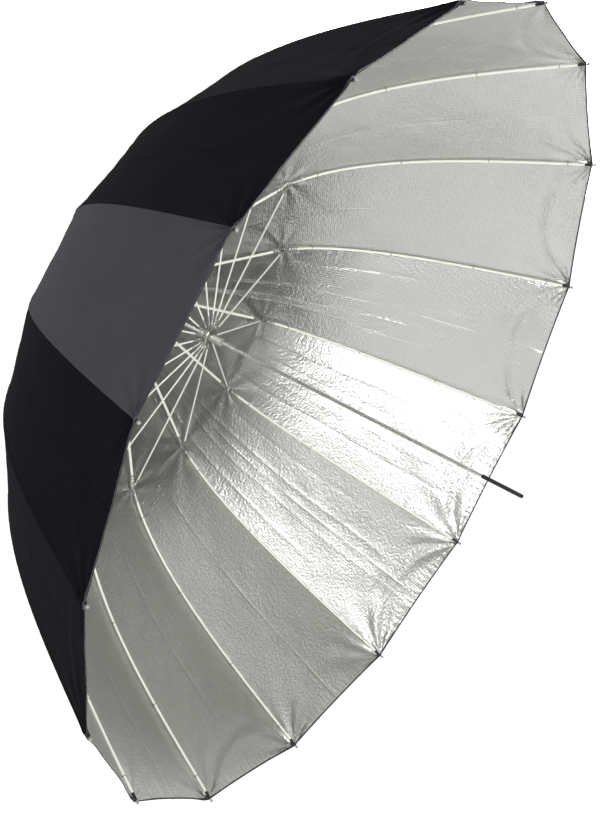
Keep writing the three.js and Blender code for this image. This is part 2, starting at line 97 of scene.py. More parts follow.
# Light. A ramp is how far a direction leans to a side at both ends, then the strengths there.
BRIGHT_SIDE = (0.62, 0.70, 0.35)
DOME_RAMP = (0.40, 0.90, 0.0, 3.9)
BACKDROP_SIDE = (0.90, 0.43, -0.05)
BACKDROP_RAMP = (0.60, 0.86, 0.0, 1.2)
HEIGHT_RAMP = (0.15, 0.90, 0.06, 0.46)
FLOOR_DEPTH = -1.6
FLOOR_BOX = ((-6.0, -1.8), (60.0, 60.0))
WARM_SHADE = (1.0, 0.96, 0.86)
KEY_PLACE = (-2.3, -2.5, 1.1)
KEY_TARGET = (0.35, 0.45, -0.3)
KEY_SIZE = 2.4
KEY_POWER = 100
FILL_PLACE = (-3.0, 1.8, -1.0)
FILL_TARGET = (-0.4, 0.5, -0.3)
FILL_SIZE = 1.6
FILL_POWER = 14

# Fabric. HEM_FOLD is how far the rim's folded hem reaches and HEM_WIDTH the tape bound round it.
CROWN_FABRIC_Y = 0.850
CROWN_HOLE = 0.0055
CROWN_SHOULDER = 0.020
PETAL_START = 0.016
CROWN_SLOPE_ANGLE = 84
ARCH_START_PULL = 0.150
ARCH_END_PULL = 0.140
OFFSET_ELBOW = 0.0068
OFFSET_TIP = 0.0048
HALF_CLOTH = 0.00025
HALF_HEM = 0.0006
HEM_WIDTH = 0.0026
HEM_FOLD = 0.014
SEAM_FLAP = 0.0065
PANEL_SAG = 0.010
HEM_HOLLOW = 0.003
PATCH_RADIUS = 0.034
FLAP_HEIGHT = 0.0007
RIPSTOP_SILVER = 0.0048
RIPSTOP_BLACK = 0.004
RIPSTOP_CHARCOAL = 0.0054
WEAVE_SILVER = 0.0013
WEAVE_BLACK = 0.0011
CHARCOAL_PANEL = 12
FOLDS_PER_GORE = 4
CREASED_PANELS = (3, 4, 5)
FAINT_FOLD = 0.3
FOLDED_INNER_SHARE = 0.28
FOLDED_OUTER_SHARE = 0.17
SILVER_CLOTH, BLACK_CLOTH, CHARCOAL_CLOTH, TAPE = range(4)
# Tension folds at a tip and at an elbow: reach, depth, and folds in a turn
TIP_RAYS = (0.062, 0.0042, 11)
ELBOW_RAYS = (0.060, 0.0018, 9)

RAMP_SOCKETS = ("From Min", "From Max", "To Min", "To Max")


# ---------------------------------------------------------------- camera, floor and light


def look_along(obj, place, forward, up):
    """Puts obj at place, looking along forward with up as its image's upright."""
    forward = Vector(forward).normalized()
    right = forward.cross(Vector(up)).normalized()
    upright = right.cross(forward)
    turn = Matrix((right, upright, -forward)).transposed().to_4x4()
    obj.matrix_world = Matrix.Translation(place) @ turn


def make_camera():
    data = bpy.data.cameras.new("camera")
    camera = bpy.data.objects.new("camera", data)
    bpy.context.scene.collection.objects.link(camera)
    data.lens = LENS
    data.sensor_width = 36.0
    data.clip_end = 200.0
    # The umbrella stands level here, and the view rolls by the lean that it has on its stand.
    look_along(camera, Vector(CAMERA_PLACE), CAMERA_FORWARD, CAMERA_UP)
    bpy.context.scene.camera = camera


def area_light(name, place, target, size, power):
    data = bpy.data.lights.new(name, "AREA")
    data.shape = "DISK"
    data.size = size
    data.energy = power
    light = bpy.data.objects.new(name, data)
    light.visible_camera = False
    bpy.context.scene.collection.objects.link(light)
    place = Vector(place)
    look_along(light, place, Vector(target) - place, (0.1, 0.2, 1.0))


def make_sky():
    """A soft studio: white behind the reflector, bright over its crown, dim in front of it."""
    world = bpy.data.worlds.new("studio")
    bpy.context.scene.world = world
    world.use_nodes = True
    tree = world.node_tree
    way = tree.nodes.new("ShaderNodeTexCoord").outputs["Generated"]
    apart = tree.nodes.new("ShaderNodeSeparateXYZ")
    tree.links.new(way, apart.inputs[0])
    sources = [(apart.outputs["Z"], HEIGHT_RAMP)]
    for side, bounds in ((BRIGHT_SIDE, DOME_RAMP), (BACKDROP_SIDE, BACKDROP_RAMP)):
        toward = tree.nodes.new("ShaderNodeVectorMath")
        toward.operation = "DOT_PRODUCT"
        toward.inputs[1].default_value = Vector(side).normalized()
        tree.links.new(way, toward.inputs[0])
        sources.append((toward.outputs["Value"], bounds))
    strengths = []
    for source, bounds in sources:
        ramp = tree.nodes.new("ShaderNodeMapRange")
        ramp.interpolation_type = "SMOOTHERSTEP"
        for socket, value in zip(RAMP_SOCKETS, bounds):
            ramp.inputs[socket].default_value = value
        tree.links.new(source, ramp.inputs["Value"])
        strengths.append(ramp.outputs["Result"])
    brightest = strengths[0]
    for strength in strengths[1:]:
        larger = tree.nodes.new("ShaderNodeMath")
        larger.operation = "MAXIMUM"
        tree.links.new(brightest, larger.inputs[0])
        tree.links.new(strength, larger.inputs[1])
        brightest = larger.outputs[0]
    tint = tree.nodes.new("ShaderNodeMix")
    tint.data_type = "RGBA"
    tint.inputs[6].default_value = (*WARM_SHADE, 1.0)
    tint.inputs[7].default_value = (1.0, 1.0, 1.0, 1.0)
    tree.links.new(brightest, tint.inputs[0])
    tree.links.new(tint.outputs[2], tree.nodes["Background"].inputs["Color"])
    tree.links.new(brightest, tree.nodes["Background"].inputs["Strength"])
    bpy.context.scene.view_settings.view_transform = "Standard"


def make_stage():
    make_sky()
    floor_mesh = bpy.data.meshes.new("floor")
    (left, near), (right, far) = FLOOR_BOX
    corners = [(left, near), (right, near), (right, far), (left, far)]
    floor_mesh.from_pydata([(x, y, FLOOR_DEPTH) for x, y in corners], [], [(0, 1, 2, 3)])
    floor = bpy.data.objects.new("floor", floor_mesh)
    bpy.context.scene.collection.objects.link(floor)
    paper = bpy.data.materials.new("pale_floor")
    paper.use_nodes = True
    shader = paper.node_tree.nodes["Principled BSDF"]
    shader.inputs["Base Color"].default_value = (0.94, 0.94, 0.94, 1)
    shader.inputs["Roughness"].default_value = 0.9
    floor_mesh.materials.append(paper)
    area_light("key", KEY_PLACE, KEY_TARGET, KEY_SIZE, KEY_POWER)
    area_light("fill", FILL_PLACE, FILL_TARGET, FILL_SIZE, FILL_POWER)


# ---------------------------------------------------------------- materials


class Nodes:
    """A small helper round one material's node tree."""

    def __init__(self, name, base, roughness, metallic=0.0):
        self.material = bpy.data.materials.new(name)
        self.material.use_nodes = True
        self.tree = self.material.node_tree
        self.shader = self.tree.nodes["Principled BSDF"]
        self.shader.inputs["Base Color"].default_value = (*base, 1.0)
        self.shader.inputs["Roughness"].default_value = roughness
        self.shader.inputs["Metallic"].default_value = metallic

    def node(self, kind, **inputs):
        made = self.tree.nodes.new(kind)
        for key, value in inputs.items():
            socket = made.inputs[key if key in made.inputs else int(key[1:])]
            if isinstance(value, bpy.types.NodeSocket):
                self.tree.links.new(value, socket)
            else:
                socket.default_value = value
        return made

    def math(self, operation, a, b=0.0):
        made = self.node("ShaderNodeMath", _0=a, _1=b)
        made.operation = operation
        return made.outputs[0]

    def wave(self, axis, pitch):
        return self.math("SINE", self.math("MULTIPLY", axis, 2 * math.pi / pitch))

    def remap(self, value, low, high, to_low, to_high):
        made = self.node("ShaderNodeMapRange", Value=value)
        for socket, bound in zip(RAMP_SOCKETS, (low, high, to_low, to_high)):
            made.inputs[socket].default_value = bound
        return made.outputs[0]

    def noise(self, scale, detail=3.0, vector=None):
        made = self.node("ShaderNodeTexNoise", Scale=scale, Detail=detail, Roughness=0.55)
        if vector is None:
            vector = self.node("ShaderNodeTexCoord").outputs["Object"]
        self.tree.links.new(vector, made.inputs["Vector"])
        return made.outputs[0]

    def mix(self, share, first, second):
        made = self.tree.nodes.new("ShaderNodeMix")
        made.data_type = "RGBA"
        for number, value in ((0, share), (6, first), (7, second)):
            socket = made.inputs[number]
            if isinstance(value, bpy.types.NodeSocket):
                self.tree.links.new(value, socket)
            else:
                socket.default_value = value if isinstance(value, float) else (*value, 1.0)
        return made.outputs[2]

    def bump(self, height, strength, distance, below=None):
        made = self.node("ShaderNodeBump", Height=height, Strength=strength, Distance=distance)
        if below is not None:
            self.tree.links.new(below, made.inputs["Normal"])
        return made.outputs[0]

    def drive(self, socket, value):
        self.tree.links.new(value, self.shader.inputs[socket])

    def cloth_axes(self):
        """Both at once, then metres across the gore from its middle, and metres along it."""
        uv = self.tree.nodes.new("ShaderNodeUVMap")
        uv.uv_map = "cloth"
        apart = self.node("ShaderNodeSeparateXYZ", Vector=uv.outputs[0])
        return uv.outputs[0], apart.outputs[0], apart.outputs[1]


def ripstop(nodes, pitch):
    """From 0 to 1, high on the thicker threads of a square ripstop grid."""
    _, across, along = nodes.cloth_axes()
    lines = [nodes.remap(nodes.wave(axis, pitch), 0.45, 1.0, 0.0, 1.0) for axis in (across, along)]
    return nodes.math("MAXIMUM", *lines)


def weave(nodes, pitch):
    """A fine over-and-under thread height, from 0 to 1."""
    _, across, along = nodes.cloth_axes()
    crossing = nodes.math("MULTIPLY", nodes.wave(across, pitch), nodes.wave(along, pitch))
    return nodes.remap(crossing, -1.0, 1.0, 0.0, 1.0)


def silver_cloth():
    nodes = Nodes("silver_cloth", (0.5, 0.5, 0.5), 0.3, 1.0)
    grid = ripstop(nodes, RIPSTOP_SILVER)
    mottle = nodes.noise(16.0, 4.0)
    shade = nodes.mix(mottle, (0.46, 0.462, 0.449), (0.54, 0.543, 0.529))
    shade = nodes.mix(nodes.math("MULTIPLY", grid, 0.5), shade, (0.86, 0.865, 0.845))
    nodes.drive("Base Color", shade)
    nodes.drive("Roughness", nodes.remap(mottle, 0.3, 0.7, 0.285, 0.32))
    normal = nodes.bump(crinkles(nodes), 0.28, 0.0035)
    normal = nodes.bump(nodes.noise(60.0, 1.0), 0.14, 0.0014, normal)
    normal = nodes.bump(nodes.noise(190.0, 0.0), 0.75, 0.0010, normal)
    normal = nodes.bump(grid, 0.8, 0.00028, normal)
    normal = nodes.bump(weave(nodes, WEAVE_SILVER), 0.35, 0.00012, normal)
    nodes.drive("Normal", normal)
    return nodes.material


def crinkles(nodes):
    """Foil-like hatching, in patches: fine ridges drawn out along two slanting directions."""
    both, _, _ = nodes.cloth_axes()
    ridges = []
    for turn in (0.7, -0.5):
        drawn = nodes.node("ShaderNodeMapping", Vector=both)
        drawn.vector_type = "TEXTURE"
        drawn.inputs["Rotation"].default_value = (0.0, 0.0, turn)
        drawn.inputs["Scale"].default_value = (1.0, 4.0, 1.0)
        level = nodes.noise(75.0, 1.0, drawn.outputs[0])
        ridges.append(nodes.math("ABSOLUTE", nodes.math("SUBTRACT", level, 0.5)))
    patches = nodes.remap(nodes.noise(4.5, 1.0), 0.45, 0.60, 0.12, 1.0)
    return nodes.math("MULTIPLY", nodes.math("ADD", *ridges), patches)


def black_cloth(name, low, high, pitch):
    nodes = Nodes(name, low, 0.42)
    grid = ripstop(nodes, pitch)
    mottle = nodes.noise(9.0, 3.0)
    shade = nodes.mix(mottle, low, high)
    shade = nodes.mix(nodes.math("MULTIPLY", grid, 0.19), shade, tuple(2.2 * c for c in high))
    nodes.drive("Base Color", shade)
    nodes.drive("Roughness", nodes.remap(mottle, 0.3, 0.7, 0.36, 0.48))
    nodes.shader.inputs["Specular IOR Level"].default_value = 0.0
    nodes.shader.inputs["Sheen Weight"].default_value = 0.02
    nodes.shader.inputs["Sheen Roughness"].default_value = 0.35
    normal = nodes.bump(nodes.noise(45.0, 3.0), 0.25, 0.0010)
    normal = nodes.bump(grid, 0.35, 0.0002, normal)
    normal = nodes.bump(weave(nodes, WEAVE_BLACK), 0.3, 0.00010, normal)
    nodes.drive("Normal", normal)
    return nodes.material


def binding_tape():
    nodes = Nodes("binding_tape", (0.012, 0.012, 0.014), 0.6)
    _, across, _ = nodes.cloth_axes()
    cords = nodes.wave(across, 0.0012)
    shade = nodes.mix(nodes.noise(60.0), (0.010, 0.010, 0.012), (0.022, 0.022, 0.026))
    nodes.drive("Base Color", shade)
    nodes.drive("Normal", nodes.bump(cords, 0.4, 0.0002))
    return nodes.material


def thread():
    nodes = Nodes("tie_thread", (0.05, 0.05, 0.05), 0.7)
    twist = nodes.noise(900.0, 1.0)
    nodes.drive("Base Color", nodes.mix(twist, (0.02, 0.02, 0.02), (0.12, 0.12, 0.12)))
    nodes.drive("Normal", nodes.bump(twist, 0.5, 0.0002))
    return nodes.material


def fibreglass():
    nodes = Nodes("fibreglass", (0.86, 0.87, 0.80), 0.32)
    streaks = nodes.noise(140.0, 3.0)
    shade = nodes.mix(streaks, (0.78, 0.80, 0.71), (0.90, 0.91, 0.85))
    nodes.drive("Base Color", shade)
    nodes.drive("Roughness", nodes.remap(streaks, 0.3, 0.7, 0.25, 0.42))
    nodes.shader.inputs["Coat Weight"].default_value = 0.3
    nodes.shader.inputs["Coat Roughness"].default_value = 0.2
    # The rods glow faintly through emission: this is painted light, since they are no lamp.
    nodes.shader.inputs["Emission Color"].default_value = (0.93, 0.95, 0.84, 1.0)
    nodes.shader.inputs["Emission Strength"].default_value = 0.22
    nodes.drive("Normal", nodes.bump(streaks, 0.2, 0.0002))
    return nodes.material


def drawn_metal(name, plain, metallic, smudge_scale, shades, gloss):
    """Metal with fine lines along the shaft and soft smudges of shade and gloss."""
    nodes = Nodes(name, *plain, metallic)
    smudges = nodes.noise(smudge_scale, 3.0)
    place_on_piece = nodes.node("ShaderNodeTexCoord").outputs["Object"]
    drawn = nodes.node("ShaderNodeMapping", Vector=place_on_piece)
    drawn.inputs["Scale"].default_value = (1.0, 0.02, 1.0)
    lines = nodes.noise(900.0, 2.0, drawn.outputs[0])
    nodes.drive("Base Color", nodes.mix(smudges, *shades))
    nodes.drive("Roughness", nodes.remap(smudges, 0.3, 0.7, *gloss))
    nodes.drive("Normal", nodes.bump(lines, 0.1, 0.0001))
    return nodes.material


def plated_steel():
    """The wires, blade and collar."""
    shades = ((0.50, 0.49, 0.46), (0.72, 0.71, 0.68))
    return drawn_metal("plated_steel", ((0.75, 0.75, 0.73), 0.3), 1.0, 30.0, shades, (0.26, 0.36))


def satin_tube():
    """The shaft and the runner's grip: pale satin metal."""
    shades = ((0.88, 0.88, 0.84), (0.96, 0.96, 0.93))
    return drawn_metal("satin_tube", ((0.90, 0.90, 0.87), 0.26), 0.85, 40.0, shades, (0.24, 0.29))


def black_plastic():
    nodes = Nodes("black_plastic", (0.02, 0.02, 0.02), 0.42)
    grain = nodes.noise(500.0, 2.0)
    wear = nodes.noise(35.0, 3.0)
    nodes.drive("Base Color", nodes.mix(wear, (0.014, 0.014, 0.015), (0.03, 0.03, 0.032)))
    nodes.drive("Roughness", nodes.remap(wear, 0.3, 0.7, 0.34, 0.5))
    nodes.drive("Normal", nodes.bump(grain, 0.2, 0.0001))
    return nodes.material


def pale_plastic():
    nodes = Nodes("pale_plastic", (0.4, 0.4, 0.38), 0.35)
    wear = nodes.noise(300.0, 3.0)
    nodes.drive("Base Color", nodes.mix(wear, (0.34, 0.33, 0.31), (0.46, 0.46, 0.44)))
    nodes.drive("Roughness", nodes.remap(wear, 0.3, 0.7, 0.28, 0.45))
    return nodes.material


# ---------------------------------------------------------------- mesh building


def unit(vector):
    return vector / np.linalg.norm(vector)


def square_to(way):
    """Two unit directions square to way."""
    side = np.cross(way, (0.0, 0.0, 1.0))
    if np.linalg.norm(side) < 0.1:
        side = np.cross(way, (1.0, 0.0, 0.0))
    side /= np.linalg.norm(side)
    return side, np.cross(way, side)


def circle(side, up, sides):
    """Unit steps from the middle to the corners of a circle of that many sides."""
    turn = 2 * math.pi * np.arange(sides) / sides
    return [math.cos(a) * side + math.sin(a) * up for a in turn]


def bands(rings, sides, closed):
    """The faces between each ring of points and the next, and from last to first if closed."""
    faces = []
    for ring in range(rings if closed else rings - 1):
        after = (ring + 1) % rings
        for k in range(sides):
            m = (k + 1) % sides
            faces.append((ring * sides + k, ring * sides + m, after * sides + m, after * sides + k))
    return faces


def caps(rings, sides):
    """The two faces that close an open row of rings."""
    last = (rings - 1) * sides
    return [tuple(reversed(range(sides))), tuple(range(last, last + sides))]


class Shape:
    """Collects closed bodies, each with its material, and turns them into one mesh object."""

    def __init__(self):
        self.points = []
        self.faces = []
        self.looks = []
        self.uvs = []

    def add(self, points, faces, look, uv=None):
        first = sum(map(len, self.points))
        self.points.append(np.array(points, float))
        self.uvs.append(np.zeros((len(points), 2)) if uv is None else uv)
        self.faces.extend([first + int(i) for i in face] for face in faces)
        self.looks.append(np.broadcast_to(look, len(faces)))

    def tube(self, centres, radius, look, sides=16):
        """A closed round body along centres."""
        centres = np.array(centres, float)
        ways = np.gradient(centres, axis=0)
        ways /= np.linalg.norm(ways, axis=1)[:, None]
        side, _ = square_to(ways[0])
        points = []
        for centre, way in zip(centres, ways):
            side = unit(side - way * side.dot(way))
            steps = circle(side, np.cross(way, side), sides)
            points.extend(centre + radius * step for step in steps)
        rings = len(centres)
        self.add(points, bands(rings, sides, False) + caps(rings, sides), look)

    def loop(self, centres, radius, look, sides=6):
        """A thin round body along a closed loop."""
        ways = np.roll(centres, -1, axis=0) - np.roll(centres, 1, axis=0)
        ways /= np.linalg.norm(ways, axis=1)[:, None]
        middle = centres.mean(axis=0)
        points = []
        for centre, way in zip(centres, ways):
            side = centre - middle
            side = unit(side - way * side.dot(way))
            steps = circle(side, np.cross(way, side), sides)
            points.extend(centre + radius * step for step in steps)
        self.add(points, bands(len(centres), sides, True), look)

    def turned(self, start, way, profile, look, sides=24, closed=False):
        """A body turned about the line from start along way, from (distance, radius) pairs.

        A closed profile makes a ring. An open one is capped at both ends.
        """
        start, way = np.array(start, float), unit(np.array(way, float))
        steps = circle(*square_to(way), sides)
        points = [start + way * d + r * step for d, r in profile for step in steps]
        faces = bands(len(profile), sides, closed)
        if not closed:
            faces += caps(len(profile), sides)
        self.add(points, faces, look)

    def bar(self, start, end, half_height, low, high, look):
        """A flat bar in the rib's plane from start to end, between two offsets along z."""
        start, end = np.array(start, float), np.array(end, float)
        way = (end - start) / np.linalg.norm(end - start)
        up = np.array([-way[1], way[0]])
        step = up * half_height
        corners = [start - step, end - step, end + step, start + step]
        points = [(*c, z) for z in (low, high) for c in corners]
        faces = [(0, 3, 2, 1), (4, 5, 6, 7), (0, 1, 5, 4), (1, 2, 6, 5), (2, 3, 7, 6), (3, 0, 4, 7)]
        self.add(points, faces, look)

    def eye(self, centre, radius, hole, low, high, look):
        """A flat ring in the rib's plane."""
        profile = [(low, hole), (low, radius), (high, radius), (high, hole)]
        self.turned((*centre, 0.0), (0, 0, 1), profile, look, 20, closed=True)

    def make(self, name, materials, smooth=50.0):
        mesh = bpy.data.meshes.new(name)
        mesh.from_pydata(np.vstack(self.points).tolist(), [], self.faces)
        for material in materials:
            mesh.materials.append(material)
        mesh.polygons.foreach_set("material_index", np.concatenate(self.looks).astype(np.int32))
        layer = mesh.uv_layers.new(name="cloth")
        loops = np.zeros(len(mesh.loops), int)
        mesh.loops.foreach_get("vertex_index", loops)
        layer.data.foreach_set("uv", np.vstack(self.uvs)[loops].astype(np.float32).ravel())
        mesh.update()
        turn_outward(mesh)
        mesh.shade_smooth()
        mesh.set_sharp_from_angle(angle=math.radians(smooth))
        return mesh


def turn_outward(mesh):
    """Points every face out of its own closed body."""
    work = bmesh.new()
    work.from_mesh(mesh)
    bmesh.ops.recalc_face_normals(work, faces=work.faces)
    work.to_mesh(mesh)
    work.free()


def place(name, mesh, turn, body, slot):
    """A new object holding mesh, turned about the shaft to its rib, riding on body."""
    piece = bpy.data.objects.new(name, mesh)
    bpy.context.scene.collection.objects.link(piece)
    piece.rotation_euler = (0.0, -turn, 0.0)
    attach(piece, body)
    return piece


# ---------------------------------------------------------------- lines in the plane of a rib


def heading(degrees):
    angle = math.radians(degrees)
    return np.array([math.sin(angle), -math.cos(angle)])


def outward(way):
    return np.array([-way[1], way[0]])


def bezier(a, b, c, d, count):
    t = np.linspace(0, 1, count)[:, None]
    return a * (1 - t) ** 3 + 3 * b * t * (1 - t) ** 2 + 3 * c * t * t * (1 - t) + d * t**3


def rib_angle(number):
    return math.pi / 2 - GORE_ANGLE * number


def flat3(points):
    """Points in the rib's plane as points in space."""
    points = np.atleast_2d(points)
    return np.column_stack([points, np.zeros(len(points))])


OUTER_START = heading(OUTER_START_ANGLE)
OUTER_END = heading(OUTER_END_ANGLE)
TO_CROWN = unit(CROWN_PIVOT - ELBOW)
TO_RUNNER = unit(RUNNER_PIVOT - ELBOW)


def outer_line(offset_start, offset_end, skip, count):
    """The outer rib's curve, moved outward, from skip past the elbow to the tip."""
    elbow = ELBOW + outward(OUTER_START) * offset_start
    tip = TIP + outward(OUTER_END) * offset_end
    return bezier(
        elbow + OUTER_START * skip,
        elbow + OUTER_START * OUTER_START_PULL,
        tip - OUTER_END * OUTER_END_PULL,
        tip,
        count,
    )


def seam_line():
    """Where the cloth meets the ribs: points, outward directions and distances from the crown."""
    shoulder = np.array([CROWN_SHOULDER, CROWN_FABRIC_Y])
    elbow = ELBOW + outward(OUTER_START) * OFFSET_ELBOW
    flat = np.linspace([CROWN_HOLE, CROWN_FABRIC_Y], shoulder, 8)
    arch = bezier(
        shoulder,
        shoulder + heading(CROWN_SLOPE_ANGLE) * ARCH_START_PULL,
        elbow - OUTER_START * ARCH_END_PULL,
        elbow,
        160,
    )
    outer = outer_line(OFFSET_ELBOW, OFFSET_TIP, 0.0, 240)
    points = np.vstack([flat, arch[1:], outer[1:]])
    steps = np.linalg.norm(np.diff(points, axis=0), axis=1)
    distance = np.concatenate([[0.0], np.cumsum(steps)])
    ways = np.gradient(points, distance, axis=0)
    ways /= np.linalg.norm(ways, axis=1)[:, None]
    normals = np.column_stack([-ways[:, 1], ways[:, 0]])
    return points, normals, distance, distance[len(flat) + len(arch) - 2]


SEAM, SEAM_OUT, SEAM_AT, ELBOW_AT = seam_line()
RIM_AT = SEAM_AT[-1]


# ---------------------------------------------------------------- canopy


def smooth_step(value, low, high):
    t = np.clip((value - low) / (high - low), 0, 1)
    return t * t * (3 - 2 * t)


def chance(*keys):
    """A fixed number from 0 to 1 for these keys: a panel, then a number for each use."""
    total = sum(k * w for k, w in zip(keys, (12.9898, 78.233, 37.719)))
    return (math.sin(total) * 43758.5453) % 1.0


def ripple(x, pitch, phase):
    return np.sin(2 * math.pi * (x / pitch + phase))


def rays(x, d, panel, key, reach, depth, count):
    """Tension folds that fan out of a point of the panel, x across from it and d along."""
    far = np.hypot(x, d)
    around = np.arctan2(x, d)
    uneven = 0.8 + 0.2 * np.sin(23 * far + panel)
    fold = np.sin(count * around + 6.28 * chance(panel, key)) * uneven
    return depth * fold * np.exp(-far / reach) * smooth_step(far, 0.002, 0.02)


def long_folds(panel, share, width, s):
    """Sharp folds that run along the gore, from how it is packed."""
    height = 0.0
    strength = 1.0 if panel in CREASED_PANELS else FAINT_FOLD
    for fold in range(FOLDS_PER_GORE):
        slope = 0.10 * (chance(panel, 20 + fold) - 0.5)
        middle = 0.14 + 0.72 * (fold + 0.25 + 0.5 * chance(panel, 30 + fold)) / FOLDS_PER_GORE
        middle = middle + slope * (s - 0.6) + 0.006 * ripple(s, 0.31, chance(panel, 40 + fold))
        start = 0.10 + 0.35 * chance(panel, 50 + fold)
        end = 0.75 + 0.35 * chance(panel, 60 + fold)
        along = smooth_step(s, start, start + 0.12) * (1 - smooth_step(s, end, end + 0.10))
        sign = 1 if chance(panel, 70 + fold) > 0.45 else -1
        depth = strength * (0.0006 + 0.0007 * chance(panel, 80 + fold))
        away = np.abs((share - middle) * width)
        height = height + sign * depth * along * np.exp(-away / 0.0036)
    return height


def relief(panel, x, width, s):
    """How far the cloth stands out of its smooth shape, x across the panel from its first rib."""
    other = width - x
    near = np.minimum(x, other)
    to_rim = RIM_AT - s
    past_elbow = s - ELBOW_AT
    share = x / width
    belly = 4 * share * (1 - share)
    height = -PANEL_SAG * width * belly * smooth_step(s, 0.05, 0.35)
    middle = x - width / 2
    crease_depth = 0.0006 + 0.0003 * ripple(s, 0.23, chance(panel, 1))
    height += crease_depth * np.exp(-np.abs(middle) / 0.0035) * smooth_step(s, 0.08, 0.2)
    height += long_folds(panel, share, width, s) * smooth_step(near, 0.0, 0.02)
    for side, across in enumerate((x, other)):
        height += rays(across, to_rim, panel, 2 + side, *TIP_RAYS)
        height += rays(across, past_elbow, panel, 4 + side, *ELBOW_RAYS)
        shifted = s + 0.004 * ripple(s, 0.09, chance(panel, 6))
        pucker = ripple(shifted, 0.019, chance(panel, 7 + side))
        height += 0.0006 * pucker * np.exp(-across / 0.012) * smooth_step(across, 0.0, 0.004)
    hem = ripple(x + 0.003 * ripple(x, 0.05, chance(panel, 9)), 0.015, chance(panel, 10))
    hem *= np.exp(-np.abs(to_rim - HEM_FOLD) / 0.010)
    height += 0.0006 * hem * smooth_step(to_rim, 0.0, 0.006)
    height += hem_billow(panel, share, to_rim)
    lean = x * math.cos(0.5) + s * math.sin(0.5)
    back = x * math.cos(0.7) - s * math.sin(0.7)
    soft = ripple(lean, 0.19, chance(panel, 11)) + ripple(back, 0.14, chance(panel, 12))
    soft += 0.5 * ripple(lean, 0.071, chance(panel, 13))
    soft += 0.4 * ripple(back, 0.052, chance(panel, 14))
    height += 0.0004 * soft * belly * smooth_step(s, 0.1, 0.3)
    gathers = ripple(middle, 0.016, chance(panel, 15)) * np.exp(-np.abs(s - 0.06) / 0.06)
    height += 0.0006 * gathers * smooth_step(near, 0.0, 0.006)
    return height


def hem_billow(panel, share, to_rim):
    """Folds that bow from tip to tip a little inside the hem, which the rim's tape holds short."""
    belly = 4 * share * (1 - share)
    lean = (share - 0.5) * 0.12 * (chance(panel, 18) - 0.5)
    bow = 0.022 + 0.045 * belly * (0.6 + 0.8 * chance(panel, 16)) + lean
    height = 0.0
    for step, depth in ((0.0, 0.0016), (0.026, -0.0010)):
        height = height + depth * np.exp(-(((to_rim - bow - step) / 0.010) ** 2))
    strength = 0.15 + 0.85 * chance(panel, 17) ** 2
    return height * smooth_step(belly, 0.05, 0.6) * strength


def cloth_point(rib, side, x, s, lift):
    """The cloth x across from rib, to the side of +1 or -1, at s along it and lift outward."""
    panel = rib if side > 0 else (rib - 1) % RIBS
    radius_here = np.interp(s, SEAM_AT, SEAM[:, 0])
    width_here = 2 * radius_here * math.sin(GORE_ANGLE / 2)
    share = np.clip(x / width_here, 0, 0.5)
    belly = 4 * share * (1 - share)
    s = s * (1 - HEM_HOLLOW * belly * smooth_step(s, ELBOW_AT, RIM_AT))
    radius, height = np.interp(s, SEAM_AT, SEAM[:, 0]), np.interp(s, SEAM_AT, SEAM[:, 1])
    out_x, out_y = np.interp(s, SEAM_AT, SEAM_OUT[:, 0]), np.interp(s, SEAM_AT, SEAM_OUT[:, 1])
    width = 2 * radius * math.sin(GORE_ANGLE / 2)
    across = share * width if side > 0 else width - share * width
    # The chord between two ribs, seen from the rib: r away from the shaft and t to its side
    r = radius - share * width * math.sin(GORE_ANGLE / 2)
    t = share * width * math.cos(GORE_ANGLE / 2)
    turn = np.arctan2(t, r)
    raised = relief(panel, across, width, s) + lift
    r = r + raised * out_x * np.cos(turn)
    t = t + raised * out_x * np.sin(turn)
    y = height + raised * out_y
    from_middle = (share - 0.5) * width if side > 0 else (0.5 - share) * width
    return np.stack([r, y, -side * t], axis=-1), np.stack([from_middle, s + 0.37 * panel], axis=-1)


def columns(width):
    """Distances across half a gore: close together at the seam and at the middle crease."""
    half = width / 2
    seam = [0.0, 0.0012, 0.003, 0.0052, SEAM_FLAP, 0.0075, 0.011]
    crease = [0.010, 0.006, 0.0038, 0.002, 0.0]
    packed = 0.42 * half * np.array(seam) / seam[-1]
    first = np.minimum(seam, packed)
    last = half - np.minimum(crease, 0.42 * half * np.array(crease) / crease[0])
    between = np.linspace(first[-1], last[0], 40)[1:-1]
    return np.concatenate([first, between, last])


